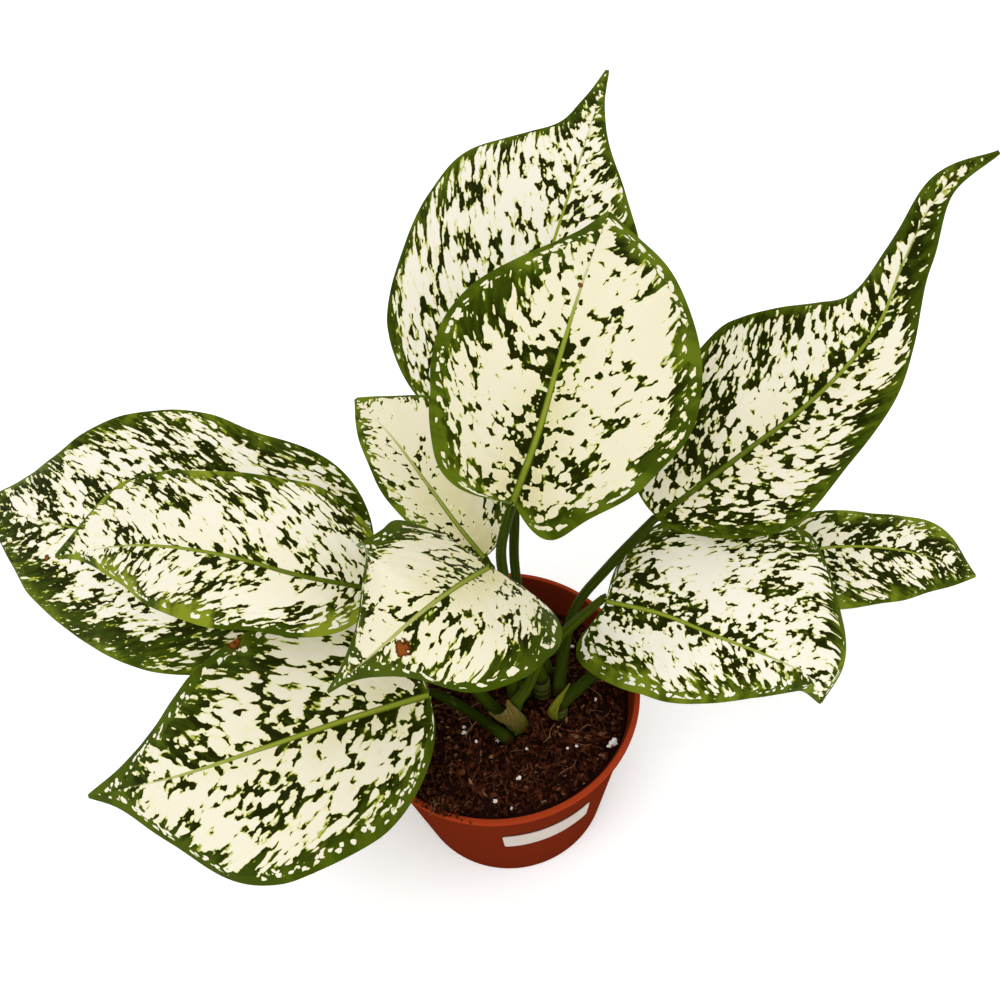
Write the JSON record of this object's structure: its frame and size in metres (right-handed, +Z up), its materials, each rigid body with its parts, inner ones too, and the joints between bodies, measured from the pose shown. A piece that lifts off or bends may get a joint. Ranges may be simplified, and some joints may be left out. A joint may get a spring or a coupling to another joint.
{
  "type": "potted aglaonema plant",
  "caption": "Aroid house plant with broad cream-white leaves flecked dark green, on short canes in a round tapered plastic nursery pot with a turned lip and a blank label.",
  "frame": {"origin": "centre of the pot's flat underside, on the surface that the pot stands on", "axes": "+Z up, -Y towards the viewer, +X to the viewer's right, along the plant's widest spread"},
  "size_m": [0.5665, 0.3349, 0.3369],
  "materials": {
    "pot": "thin thermoformed plastic, red-brown with a brighter terracotta lip, satin",
    "soil": "dark potting mix of peat and bark, crumbly and matte",
    "label": "blank paper sticker, matte",
    "cane": "green fleshy stem with ring scars, satin",
    "sheath_tan": "dry papery leaf sheath, matte",
    "sheath_olive": "half-dry leaf sheath, satin",
    "petiole": "smooth green leaf stalk, satin",
    "blade": "cream-white leaf flecked and edged with dark green, satin gloss"
  },
  "bodies": {
    "root": {"pot": "pot", "soil": "soil", "label": "label", "cane_front_left": "cane", "cane_front_right": "cane", "cane_back": "cane", "sheath_tan": "sheath_tan", "sheath_olive": "sheath_olive", "petiole_back_tall": "petiole", "petiole_centre_back": "petiole", "petiole_right_long": "petiole", "petiole_right_low": "petiole", "petiole_far_right": "petiole", "petiole_left_back": "petiole", "petiole_left_upper": "petiole", "petiole_left_low": "petiole", "petiole_centre_front": "petiole", "petiole_small_inner": "petiole", "blade_back_tall": "blade", "blade_centre_back": "blade", "blade_right_long": "blade", "blade_right_low": "blade", "blade_far_right": "blade", "blade_left_back": "blade", "blade_left_upper": "blade", "blade_left_low": "blade", "blade_centre_front": "blade", "blade_small_inner": "blade"}
  },
  "joints": []
}
